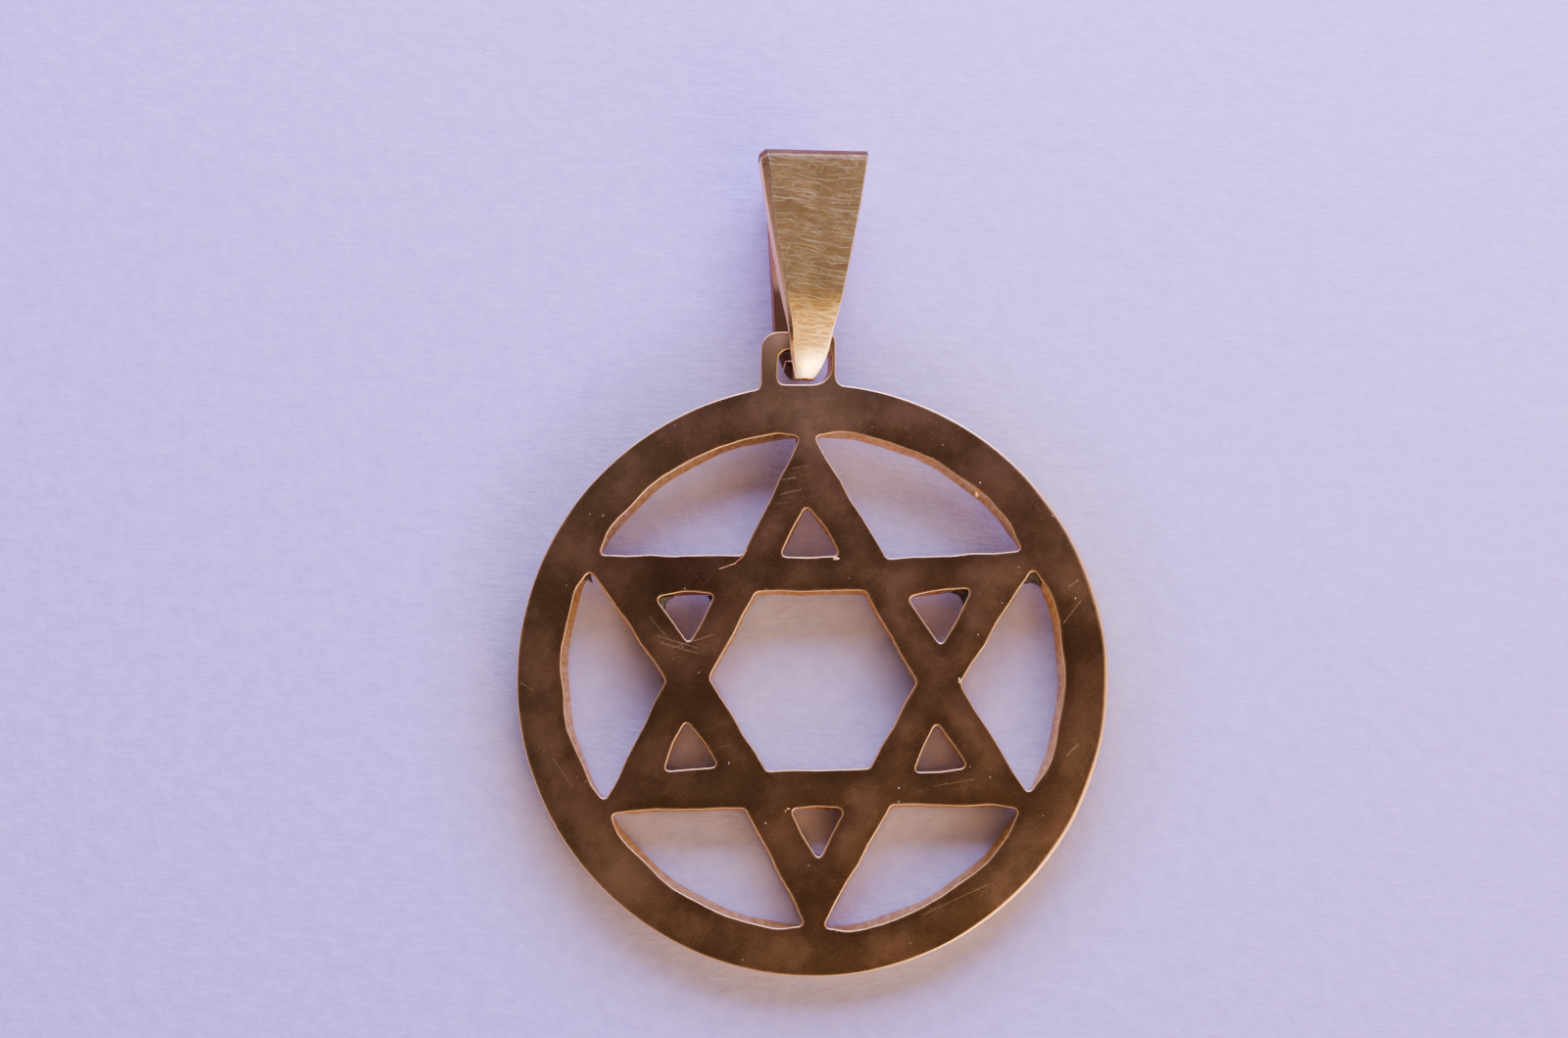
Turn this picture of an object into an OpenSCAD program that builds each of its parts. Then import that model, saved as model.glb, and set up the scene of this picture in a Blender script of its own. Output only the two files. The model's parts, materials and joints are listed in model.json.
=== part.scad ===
// Pierced six-pointed star in a ring, with a folded bail that swings in the disc's ear.
// It lies face up: the foot of the ring and the bail's lower edge touch the ground at z = 0.
// +Y runs from the foot of the disc to the top of the bail, +X to the right, +Z up.

/* [Disc] */
// Outside diameter of the ring
disc_d = 25; // [23:0.1:28]
// Thickness of the sawn plate
disc_t = 1.1; // [0.9:0.05:1.4]
// Width of the ring around the star
ring_w = 2.15; // [1.7:0.05:2.5]

/* [Star] */
// Width of the star's bands
band_w = 1.52; // [1.2:0.02:1.8]
// Width of metal left between two windows where a point meets the ring
neck_w = 0.6; // [0.4:0.05:0.9]
// How far the drawn points run past the ring's inner edge
tip_bite = 0.05; // [0:0.05:0.3]
// Turn of the star in its ring, anticlockwise, in degrees
star_turn = 1; // [-3:0.5:3]

/* [Saw work] */
// Farthest that a sawn corner strays from the drawn star
saw_stray = 0.3; // [0:0.05:0.35]
// Height of the waves along a sawn edge
saw_wave = 0.035; // [0:0.005:0.06]
// Length of edge between two waves
saw_step = 0.95; // [0.7:0.05:1.5]
// Radius that the blade leaves in a window's corner
saw_r = 0.15; // [0.08:0.01:0.2]

/* [Ear] */
// Width of the ear
ear_w = 3.18; // [3:0.02:3.5]
// Distance of the ear's middle to the right of the disc's middle
ear_x = -0.64; // [-1:0.02:1]
// Width of the ear's left leg
leg_left = 0.72; // [0.5:0.02:0.8]
// Width of the ear's right leg
leg_right = 0.36; // [0.3:0.02:0.6]
// Thickness of the arch over the hole, which the bail hangs on
arch_w = 0.75; // [0.6:0.05:0.8]
// Height of the hole
hole_h = 1.5; // [1.4:0.05:1.8]
// Depth of the hole's floor under the ring's edge
floor_sink = 0.03; // [0:0.01:0.2]
// Radius of the ear's shoulders
shoulder_r = 0.72; // [0.3:0.02:0.8]
// Radius in the hole's top left corner
crown_r = 0.5; // [0.2:0.02:0.5]
// Radius in the hole's bottom right corner, which follows the curl
heel_r = 0.8; // [0.2:0.05:0.9]
// Radius in the hole's other corners
hole_r = 0.26; // [0.1:0.02:0.4]
// Radius where the ear runs into the ring
foot_r = 0.5; // [0.2:0.02:0.6]

/* [Bail] */
// Length of the bail, from its fold to the foot of its curl
bail_l = 9.75; // [8:0.05:11]
// Thickness of the bail's strip
strip_t = 0.56; // [0.45:0.01:0.65]
// Width of the front leaf at the fold
front_w = 4.7; // [3.5:0.05:5.5]
// Width of the back leaf at the fold
back_w = 3.1; // [2.6:0.05:4]
// Gap between the leaves at the fold, for the chain
fold_gap = 1.75; // [1.4:0.05:2.4]
// Outer radius of the fold's two bends
fold_r = 0.3; // [0.2:0.02:0.5]
// Slant of the fold across the strip, right side up, in degrees
fold_slant = 2.5; // [-3:0.5:3]

/* [Fits] */
// Play between a leaf and each side of the ear's hole
leaf_play = 0.15; // [0.1:0.01:0.25]
// Distance of the bail to the right of the hole's middle
bail_shift = 0.05; // [-0.05:0.01:0.06]
// Clearance between the loop's inside and the arch as it turns
arch_play = 0.14; // [0.1:0.01:0.3]
// Play beside the rolled leaf, to which the hole is filed out for its swing
swing_play = 0.13; // [0.08:0.01:0.16]
// Clearance between the curl and the floor of the hole
floor_play = 0.2; // [0.15:0.01:0.3]

/* [Rest] */
// Roll of the bail in the ear, left side up, in degrees
bail_roll = 15; // [10:0.5:16]
// Turn of the bail over the ground, anticlockwise, in degrees
bail_turn = -0.8; // [-2:0.1:2]

/* [Hidden] */
$fn = 96;

gold = [0.80, 0.58, 0.32];
pale_gold = [0.86, 0.68, 0.42];

disc_r = disc_d / 2;
ring_in = disc_r - ring_w;

// Distance from the star's middle to the outer and inner edge of a band
star_out = (ring_in + tip_bite) / 2;
star_in = star_out - band_w;

hole_w = ear_w - leg_left - leg_right;
hole_left = ear_x - ear_w / 2 + leg_left;
hole_right = hole_left + hole_w;
hole_floor = disc_r - floor_sink;
hole_top = hole_floor + hole_h;
ear_top = hole_top + arch_w;

// The ear's feet: how far they spread, their depth under the ring's edge, and where the ear is rooted
foot_reach = 1.6 * foot_r;
foot_sink = 0.04;
ear_root = disc_r - ring_w / 2;

// How far a cut runs past both faces
cut_past = 0.5;

// The bail turns about this point, the middle of the arch
pivot_x = (hole_left + hole_right) / 2 + bail_shift;
pivot_y = hole_top + arch_w / 2;

// Width of both leaves beside the arch
leaf_w = hole_w - 2 * leaf_play;

// The arch's corners reach this far from its middle, and the rolled loop has to clear them
arch_reach = norm([arch_w, disc_t]) / 2;
ear_gap = 2 * (arch_reach * cos(bail_roll) + leaf_w / 2 * sin(bail_roll) + arch_play);
curl_reach = arch_w / 2 + hole_h - floor_play;
bail_top = bail_l - curl_reach;
inner_fold_r = fold_r / 3;

// Where a sawn corner lies, as shares of saw_stray: [to the right, up]
// The hexagon's corners, anticlockwise from the right
HEXAGON_STRAY = [[0.3, -0.8], [0.4, -0.4], [-0.6, -0.3], [-0.2, 0.2], [0.5, -0.5], [0.7, -0.3]];
// Each point's triangle, anticlockwise from the top: [apex, left foot, right foot] seen from the middle
POINT_STRAY = [
    [[-0.5, 0], [-0.2, -0.1], [0.1, -0.1]],
    [[-0.8, -0.4], [-0.2, 0], [-0.6, -0.1]],
    [[0.1, -0.4], [-0.4, 0.1], [-0.8, -0.4]],
    [[0.5, -1], [-0.1, -1.2], [0.7, -0.8]],
    [[0.4, -0.5], [0.2, -1.2], [1, -1.1]],
    [[1.4, 0.2], [0.6, -1], [1.1, -0.8]]
];
// Each ring window, anticlockwise from the top: [first point's corner, inner corner, next point's corner]
WINDOW_STRAY = [
    [[-0.2, -0.2], [0.3, 0.3], [-0.5, -0.2]],
    [[-0.9, -0.6], [-0.8, -0.1], [0.9, -0.5]],
    [[0.7, -0.4], [0.2, -1], [-0.6, -0.1]],
    [[-0.1, -0.4], [0.9, -0.9], [-0.5, -0.5]],
    [[-0.3, -0.3], [0.9, -1.1], [1, -1.2]],
    [[0.5, -0.5], [0.8, -0.5], [-0.3, -0.2]]
];

// Where a leaf has its sections, as shares of the way from the arch to the fold, from the fold down
LEAF_SECTIONS = [0.81, 0.62, 0.43, 0.23, 0.08];
// How a leaf widens: [share of the way from the arch to the fold, share of the widening]
FRONT_WIDTHS = [[0, 0], [0.08, 0.08], [0.23, 0.27], [0.43, 0.48], [0.62, 0.67], [0.81, 0.85], [1, 1]];
BACK_WIDTHS = [[0, 0], [0.08, 0.14], [0.23, 0.26], [0.43, 0.45], [0.62, 0.63], [0.81, 0.81], [1, 1]];
// How the curl narrows under the arch: [degrees round from the front leaf, share of the leaf's width]
CURL_WIDTHS = [
    [0, 1], [10, 0.96], [20, 0.9], [35, 0.79], [55, 0.63], [75, 0.48], [90, 0.43],
    [110, 0.5], [130, 0.62], [150, 0.72], [165, 0.82], [180, 1]
];

function unit(v) = v / norm(v);
function polar(r, a) = [r * cos(a), r * sin(a)];

// The rounded corner at p, between its neighbours before and after, in a few short sides.
// It takes at most the given share of either edge.
function corner(before, p, after, r, sides, most = 0.45) =
    let (a = unit(before - p), b = unit(after - p))
    let (half = acos(max(-1, min(1, a * b))) / 2)
    let (back = min(r / tan(half), most * norm(before - p), most * norm(after - p)))
    let (centre = p + unit(a + b) * back / cos(half))
    let (from = p + a * back - centre, to = p + b * back - centre)
    let (start = atan2(from[1], from[0]), sweep = atan2(to[1], to[0]) - start)
    let (turn = sweep > 180 ? sweep - 360 : sweep < -180 ? sweep + 360 : sweep)
    [for (i = [0 : sides]) centre + polar(norm(from), start + turn * i / sides)];

// An outline whose corners are rounded, each by its own radius; radius 0 leaves a point
function rounded(points, radii, sides, most = 0.45) =
    let (n = len(points))
    [for (i = [0 : n - 1])
        each radii[i] == 0
            ? [points[i]]
            : corner(points[(i + n - 1) % n], points[i], points[(i + 1) % n], radii[i], sides, most)];

// A straight cut from p to q as the saw left it, without its ends
function sawn(p, q, seed) =
    let (n = max(1, round(norm(q - p) / saw_step)))
    let (d = unit(q - p), side = [-d[1], d[0]])
    [for (i = [1 : 1 : n - 1]) p + (q - p) * i / n + side * saw_wave * sin(137 * i + 71 * seed)];

// A sawn window with straight sides
function sawn_window(points, seed) =
    let (n = len(points))
    [for (i = [0 : n - 1])
        let (before = points[(i + n - 1) % n], p = points[i], after = points[(i + 1) % n])
        let (bend = corner(before, p, after, saw_r, 3))
        let (next = corner(p, after, points[(i + 2) % n], saw_r, 3))
        each concat(bend, sawn(bend[3], next[0], seed + i))];

function strayed(points, shares) = [for (i = [0 : len(points) - 1]) points[i] + saw_stray * shares[i]];

// The six-sided window in the middle of the star
function hexagon_window() =
    let (corners = [for (k = [0 : 5]) polar(star_in / cos(30), 60 * k + star_turn)])
    sawn_window(strayed(corners, HEXAGON_STRAY), 0);

// The small triangle in star point k
function point_window(k) =
    let (along = 90 + 60 * k + star_turn)
    let (half = (2 * star_in - star_out) * tan(30))
    let (foot = polar(star_out, along), side = polar(half, along + 90))
    let (corners = [polar(2 * star_in, along), foot + side, foot - side])
    sawn_window(strayed(corners, POINT_STRAY[k]), 10 * (k + 1));

// The window between star point k, the next point and the ring
function ring_window(k) =
    let (along = 90 + 60 * k + star_turn, bite = asin(neck_w / 2 / ring_in))
    let (corners = [
        polar(ring_in, along + bite),
        polar(star_out / cos(30), along + 30),
        polar(ring_in, along + 60 - bite)
    ])
    let (p = strayed(corners, WINDOW_STRAY[k]))
    let (start = atan2(p[2][1], p[2][0]), sweep = atan2(p[0][1], p[0][0]) - start)
    let (turn = sweep > 180 ? sweep - 360 : sweep, steps = 12)
    let (arc = [for (i = [1 : steps - 1])
        let (r = norm(p[2]) + (norm(p[0]) - norm(p[2])) * i / steps)
        polar(r + saw_wave * sin(97 * i + 53 * k), start + turn * i / steps)])
    let (first = corner(arc[steps - 2], p[0], p[1], saw_r, 3))
    let (inner = corner(p[0], p[1], p[2], saw_r, 3))
    let (last = corner(p[1], p[2], arc[0], saw_r, 3))
    concat(first, sawn(first[3], inner[0], k), inner, sawn(inner[3], last[0], k + 6), last, arc);

// The height of the ring's edge over x, and the ear's outline, whose feet run just under that edge
function rim(x) = sqrt(disc_r * disc_r - x * x);
function ear_outline() =
    let (left = ear_x - ear_w / 2, right = ear_x + ear_w / 2)
    rounded(
        [
            [left - foot_reach, rim(left - foot_reach) - foot_sink], [left, rim(left)], [left, ear_top],
            [right, ear_top], [right, rim(right)], [right + foot_reach, rim(right + foot_reach) - foot_sink],
            [right, ear_root], [left, ear_root]
        ],
        [0, foot_r / 2, shoulder_r, shoulder_r / 2, foot_r, 0, 0, 0],
        5
    );

// The hole that the bail passes through, between the given sides
function ear_hole(left, right) =
    rounded(
        [[left, hole_floor], [right, hole_floor], [right, hole_top], [left, hole_top]],
        [hole_r, heel_r, hole_r, crown_r],
        6,
        0.64
    );

// One side of the strip seen from the bail's edge, once round from the fold: [along, up] from the pivot
function strip_side(top, fold_half, ear_half, bend_r, reach) =
    let (n = len(LEAF_SECTIONS), straight = top - bend_r, rise = (fold_half - ear_half) / straight)
    concat(
        [for (q = [90 : -30 : 0]) [top - bend_r + bend_r * sin(q), fold_half - bend_r + bend_r * cos(q)]],
        [for (s = LEAF_SECTIONS) [s * straight, ear_half + rise * s * straight]],
        [for (a = [0 : 10 : 180]) [-reach * sin(a), ear_half * cos(a)]],
        [for (i = [n - 1 : -1 : 0]) let (y = LEAF_SECTIONS[i] * straight) [y, -ear_half - rise * y]],
        [for (q = [0 : 30 : 90]) [top - bend_r + bend_r * sin(q), -fold_half + bend_r - bend_r * cos(q)]]
    );

// The strip's width at each of those places
function strip_widths() =
    let (n = len(LEAF_SECTIONS))
    concat(
        [for (q = [0 : 3]) front_w],
        [for (s = LEAF_SECTIONS) leaf_w + (front_w - leaf_w) * lookup(s, FRONT_WIDTHS)],
        [for (a = [0 : 10 : 180]) leaf_w * lookup(a, CURL_WIDTHS)],
        [for (i = [n - 1 : -1 : 0]) leaf_w + (back_w - leaf_w) * lookup(LEAF_SECTIONS[i], BACK_WIDTHS)],
        [for (q = [0 : 3]) back_w]
    );

// The strip's four edges at each place, with the pivot at the origin
bail_points =
    let (out = strip_side(bail_top, fold_gap / 2 + strip_t, ear_gap / 2 + strip_t, fold_r, curl_reach))
    let (in = strip_side(bail_top - strip_t, fold_gap / 2, ear_gap / 2, inner_fold_r, curl_reach - strip_t))
    let (half = strip_widths() / 2)
    [for (i = [0 : len(half) - 1])
        let (rise = half[i] * tan(fold_slant) * max(0, out[i][0] / bail_top))
        each [
            [-half[i], out[i][0] - rise, out[i][1]], [half[i], out[i][0] + rise, out[i][1]],
            [half[i], in[i][0] + rise, in[i][1]], [-half[i], in[i][0] - rise, in[i][1]]
        ]];

// The rolled bail is pitched until both ends of its low edge reach the ground
bail_pitch = atan((back_w - leaf_w) / 2 * sin(bail_roll) / bail_top);
function rolled(p) =
    let (x = p[0] * cos(bail_roll) + p[2] * sin(bail_roll), z = p[2] * cos(bail_roll) - p[0] * sin(bail_roll))
    let (y = p[1] * cos(bail_pitch) - z * sin(bail_pitch), up = p[1] * sin(bail_pitch) + z * cos(bail_pitch))
    [x * cos(bail_turn) - y * sin(bail_turn), x * sin(bail_turn) + y * cos(bail_turn), up];
rolled_points = [for (p = bail_points) rolled(p)];

// The pivot's height over the ground, and the tilt that this gives the disc over its foot
pivot_z = -min([for (p = rolled_points) p[2]]);
tilt = asin(pivot_z / norm([disc_r + pivot_y, disc_t / 2])) - atan2(disc_t / 2, disc_r + pivot_y);
disc_z = disc_r * sin(tilt) + disc_t / 2 * cos(tilt);

// The middle of the whole pendant lies over the origin
foot_y = -disc_r * cos(tilt) - disc_t / 2 * sin(tilt);
head_y = pivot_y * cos(tilt) + max([for (p = rolled_points) p[1]]);
middle_y = (foot_y + head_y) / 2;

module sawn_through() {
    translate([0, 0, -cut_past]) linear_extrude(disc_t + 2 * cut_past) children();
}

// The hole filed out aslant, so that the rolled leaves swing through it
module filed_aslant() {
    half = leaf_w / 2 + swing_play;
    translate([pivot_x, 0, disc_t / 2])
        rotate([0, bail_roll, 0])
            linear_extrude(disc_t + 2 * cut_past, center = true) polygon(ear_hole(-half, half));
}

module disc() {
    color(gold)
        translate([0, -middle_y, disc_z])
            rotate([tilt, 0, 0])
                translate([0, 0, -disc_t / 2])
                    difference() {
                        union() {
                            cylinder(h = disc_t, r = disc_r);
                            linear_extrude(disc_t) polygon(ear_outline());
                        }
                        sawn_through() polygon(ear_hole(hole_left, hole_right));
                        filed_aslant();
                        sawn_through() polygon(hexagon_window());
                        for (k = [0 : 5]) {
                            sawn_through() polygon(point_window(k));
                            sawn_through() polygon(ring_window(k));
                        }
                    }
}

module bail() {
    n = len(bail_points);
    color(pale_gold)
        translate([pivot_x, pivot_y * cos(tilt) - middle_y, pivot_z])
            rotate([0, 0, bail_turn])
                rotate([bail_pitch, 0, 0])
                    rotate([0, bail_roll, 0])
                        polyhedron(
                            points = bail_points,
                            faces = [
                                for (i = [0 : 4 : n - 4], k = [0 : 3])
                                    let (a = i + k, b = i + (k + 1) % 4)
                                    let (c = (b + 4) % n, d = (a + 4) % n)
                                    each [[a, b, c], [a, c, d]]
                            ]
                        );
}

disc();
bail();
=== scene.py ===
"""Looks of a sawn gold star pendant that lies face up on paper, with its folded bail."""

import json
import math

import bmesh
import bpy
import numpy as np
from mathutils import Matrix, Vector, geometry, kdtree, noise


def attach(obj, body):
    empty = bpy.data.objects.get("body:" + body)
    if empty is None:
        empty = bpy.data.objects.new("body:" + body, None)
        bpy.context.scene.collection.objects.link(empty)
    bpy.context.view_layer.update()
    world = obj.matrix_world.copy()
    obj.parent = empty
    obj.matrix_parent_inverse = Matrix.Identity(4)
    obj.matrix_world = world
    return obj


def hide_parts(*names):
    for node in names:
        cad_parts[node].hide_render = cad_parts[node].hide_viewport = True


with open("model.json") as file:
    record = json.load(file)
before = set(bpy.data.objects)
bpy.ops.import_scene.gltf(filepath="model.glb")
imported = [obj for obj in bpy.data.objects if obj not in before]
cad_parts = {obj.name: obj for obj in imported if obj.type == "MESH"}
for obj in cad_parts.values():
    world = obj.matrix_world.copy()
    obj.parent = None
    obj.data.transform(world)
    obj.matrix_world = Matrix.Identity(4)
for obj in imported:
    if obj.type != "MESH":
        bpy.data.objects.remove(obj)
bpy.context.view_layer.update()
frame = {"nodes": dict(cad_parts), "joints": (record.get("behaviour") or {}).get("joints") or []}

MM = 0.001

# Camera: the picture's width, its scale at the point looked at, and where the eye is
PICTURE_W = 1600
PIXELS_PER_MM = 24.0591
EYE_DISTANCE_MM = 150
EYE_ELEVATION = 83.5
EYE_AZIMUTH = -4.126
EYE_ROLL = -3.962
LOOKED_AT_MM = (-1.2298, 1.7808, 1.5)
SENSOR_W_MM = 36

# Plate: step between points along a sawn line and between the points of a flat
LINE_STEP = 0.09
FLAT_STEP = 0.22
# The rows of a flat's points lie this share of a step apart
GRID_ROWS = 0.866
# Each point is shifted by up to about this share of a step, from draws with this seed
GRID_SHIFT = 0.2
GRID_SEED = 1
# Flat strip beside a rim, which keeps the rim crisp
CRISP_STRIP = 0.02
# Radius of a worn rim: inside the windows, at the ear, on the back, round the ring, and how much more it
# gets on the ring's right
WINDOW_RIM = 0.034
EAR_RIM = 0.05
BACK_RIM = 0.05
RING_RIM = 0.065
RING_RIM_RIGHT = 0.11
# Where the ring's right begins and is full, by the cosine of the bearing
RIGHT_SIDE = (0.2, 1)
# Steps round a rim and round the one on the back in degrees, and down the wall between them in shares
RIM_TURNS = (0, 22, 45, 68, 90)
WALL_SHARES = (0.12, 0.3, 0.5, 0.7, 0.88)
BACK_TURNS = (90, 45, 0)
# How far the file took a wall back at the top: any wall, the ring's inner wall, a wall that faces the foot
WALL_SLANT = 0.03
RING_SLANT = 0.19
FOOT_SLANT = 0.09
# The flats fall off towards every rim, and are never quite even
RIM_FALL = 0.01
RIM_FALL_REACH = 0.2
FLAT_WAVE = 0.012
# Height of the marks that saw and file left down a wall
FILE_MARKS = 0.006
# A corner shifted back is stretched by no more than this, and the file stopped short of it by this length
MITRE_LIMIT = 1.7
FILE_STOPS_SHORT = 1.1
# The ring: points this near to its radius lie on it, and the file strayed inward by this share of the radius
ON_RING = 0.02
RING_UNEVEN = 0.0008
# A window touches the ring when it reaches this share of the radius, and its wall is the ring's at these
# distances from where it reaches farthest
RING_WINDOW = 0.75
RING_WALL = (0.4, 0.15)
# The ear begins this far below the top of the ring: for the windows, and for the outline, where it fades in
EAR_FROM = 0.3
EAR_FADES = (0.6, 0.1)
# Points of a flat keep this far from its rims
FLAT_CLEAR = 0.12
# A distance that counts as far from every rim
FAR = 9.0
# A face belongs to a flat, or to a side, when the cosine between its normal and the side's is over this
FLAT_FACE = 0.999
SIDE_FACE = 0.7
# A face looks up when its normal's height is over this
UPWARD = 0.9

# Bail: bevel along the front leaf's left edge, below and at the fold, and where it grows from one to the
# other as shares of the height
BEVEL = 0.15
BEVEL_AT_FOLD = 0.29
BEVEL_GROWS = (0.55, 0.95)
# The heights between which the back leaf's plain edge turns into the bevel
BEVEL_HEIGHTS = (0.4, 1.3)
# The other edges' radius, the step between sections, and how uneven the strip's faces are
BAIL_EDGE = 0.05
BAIL_STEP = 0.22
BAIL_WAVE = 0.014
# A stretch is an end wall, and stays straight, when it is this many times longer than its neighbours
LONG_STRETCH = 6
# Steps round an edge in degrees, and how far each lies across the flat bevel
EDGE_TURNS = (0, 30, 60, 90)
BEVEL_SHARES = (0.0, 0.1, 0.9, 1.0)
# Pieces across the strip's outside, right edge, inside and left edge
STRIP_PIECES = (16, 3, 10, 3)
# The foot of the front leaf is filed round: from where above the hinge, to what radius, how much more at its
# sides, and on what length this grows
FOOT_FROM = 2.0
FOOT_RADIUS = 6.2
FOOT_CROWN = 0.06
FOOT_CROWN_GROWS = 2


class Axes:
    """Right-handed axes in millimetres, laid along a piece."""

    def __init__(self, origin, across, up):
        self.origin = np.array(origin, float)
        self.turn = np.array([across, Vector(up).cross(Vector(across)), up], float)

    def read(self, points):
        return (np.array(points, float) - self.origin) @ self.turn.T / MM

    def place(self, points):
        return np.array(points, float) @ self.turn * MM + self.origin


def rims(node, facing, least):
    """The closed lines round the faces of a CAD node that look along facing, the metal on their left."""
    mesh = bmesh.new()
    mesh.from_mesh(frame["nodes"][node].data)
    bmesh.ops.remove_doubles(mesh, verts=mesh.verts, dist=1e-7)
    mesh.normal_update()
    mesh.verts.ensure_lookup_table()
    chosen = {face for face in mesh.faces if face.normal.dot(Vector(facing)) > least}
    after = {}
    for face in chosen:
        for corner in face.loops:
            if sum(near in chosen for near in corner.edge.link_faces) == 1:
                after[corner.vert.index] = corner.link_loop_next.vert.index
    found = []
    while after:
        line = [min(after)]
        while line[-1] in after:
            line.append(after.pop(line[-1]))
        found.append([mesh.verts[i].co.copy() for i in line[:-1]])
    mesh.free()
    return found


def line_length(line):
    return np.linalg.norm(np.roll(line, -1, 0) - line, axis=1).sum()


def evenly(line, count):
    """A closed line of count evenly spaced points, from its lowest left corner on."""
    line = np.roll(line, -int(np.argmin(line.sum(1))), axis=0)
    closed = np.vstack([line, line[:1]])
    run = np.concatenate([[0], np.cumsum(np.linalg.norm(np.diff(closed, axis=0), axis=1))])
    at = np.linspace(0, run[-1], count, endpoint=False)
    return np.stack([np.interp(at, run, closed[:, axis]) for axis in (0, 1)], 1)


def blurred(values, passes):
    """Values along a closed line, evened out with their neighbours."""
    for _ in range(passes):
        values = values / 2 + (np.roll(values, 1, 0) + np.roll(values, -1, 0)) / 4
    return values


def inward(line):
    """The direction into the metal at each point of a closed line."""
    ahead = np.roll(line, -1, 0) - np.roll(line, 1, 0)
    side = np.stack([-ahead[:, 1], ahead[:, 0]], 1)
    return side / np.linalg.norm(side, axis=1, keepdims=True)


def crisp_inward(line):
    """The same, but longer in a corner, so that a line shifted along it keeps its corners."""
    soft = blurred(inward(line), 4)
    size = np.linalg.norm(soft, axis=1, keepdims=True)
    return soft / size * np.minimum(1 / size, MITRE_LIMIT)


def corner_reach(line):
    """How far it is from each point of a closed line, along it, to the nearest corner."""
    soft = np.linalg.norm(blurred(inward(line), 6), axis=1)
    corners = np.flatnonzero(soft < 0.8)
    step = np.linalg.norm(np.roll(line, -1, 0) - line, axis=1).mean()
    apart = np.abs(np.arange(len(line))[:, None] - corners[None])
    return np.minimum(apart, len(line) - apart).min(axis=1, initial=len(line)) * step


def soft_step(values, start, end):
    share = np.clip((np.asarray(values, float) - start) / (end - start), 0, 1)
    return share * share * (3 - 2 * share)


def ripple(points, size, seed=0):
    """Smooth noise between -1 and 1 at each point, with bumps about size across."""
    spot = Vector((seed * 7.3, seed * 3.1, seed * 5.7))
    return np.array([noise.noise(Vector((*p, 0)[:3]) / size + spot) for p in points])


def new_piece(name, points, faces, facts):
    """A smooth mesh object, with one named fact for each point: a number or three."""
    mesh = bpy.data.meshes.new(name)
    mesh.from_pydata([tuple(p) for p in points], [], faces)
    for label, values in facts.items():
        values = np.asarray(values, np.float32)
        kind = "FLOAT" if values.ndim == 1 else "FLOAT_VECTOR"
        fact = mesh.attributes.new(label, kind, "POINT")
        fact.data.foreach_set("value" if values.ndim == 1 else "vector", values.ravel())
    mesh.shade_smooth()
    piece = bpy.data.objects.new(name, mesh)
    bpy.context.scene.collection.objects.link(piece)
    return piece


def top_of(node):
    """The direction that a node's flat top faces."""
    up = Vector()
    for face in frame["nodes"][node].data.polygons:
        if face.normal.z > UPWARD:
            up += face.normal * face.area
    return up.normalized()


def read_plate():
    """The plate's axes from its ring's middle, its radius, its thickness and its top and bottom lines."""
    up = top_of("disc")
    axes = Axes((0, 0, 0), (1, 0, 0), up)
    tops = [axes.read(line) for line in rims("disc", up, FLAT_FACE)]
    bottoms = [axes.read(line)[::-1] for line in rims("disc", -up, FLAT_FACE)]
    tops.sort(key=line_length, reverse=True)
    outline = tops[0]
    radius = np.ptp(outline[:, 0]) / 2
    height, floor = outline[:, 2].mean(), bottoms[0][:, 2].mean()
    across = (outline[:, 0].max() + outline[:, 0].min()) / 2
    middle = np.array([across, outline[:, 1].min() + radius, (height + floor) / 2])
    axes.origin = axes.place([middle])[0]
    tops = [(line - middle)[:, :2] for line in tops]
    bottoms = [(line - middle)[:, :2] for line in bottoms]
    under = [min(bottoms, key=lambda low: np.linalg.norm(low.mean(0) - top.mean(0))) for top in tops]
    return axes, radius, height - floor, tops, under


def rounded_ring(line, radius):
    """The outline with its round stretch on the true circle, a little uneven as a filed rim is."""
    reach = np.linalg.norm(line, axis=1)
    on_ring = np.abs(reach - radius) < ON_RING
    line = np.where(on_ring[:, None], line * (radius / reach)[:, None], line)
    return line * (1 - RING_UNEVEN * (1 + ripple(line, 3.5, 4)))[:, None]


def filed_back(line, radius):
    """How far each point of a window's wall leans back at the top."""
    reach = np.linalg.norm(line, axis=1)
    farthest = reach.max()
    at_ring = soft_step(reach, *(farthest - near for near in RING_WALL)) * (farthest > RING_WINDOW * radius)
    to_foot = np.clip(inward(line)[:, 1], 0, 1) * (1 - at_ring)
    slant = WALL_SLANT + RING_SLANT * at_ring + FOOT_SLANT * to_foot
    filed = 0.12 + 0.88 * soft_step(corner_reach(line), 0.0, FILE_STOPS_SHORT)
    return blurred(slant * (1 + 0.35 * ripple(line, 1.6, 2)) * filed, 3)


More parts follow.
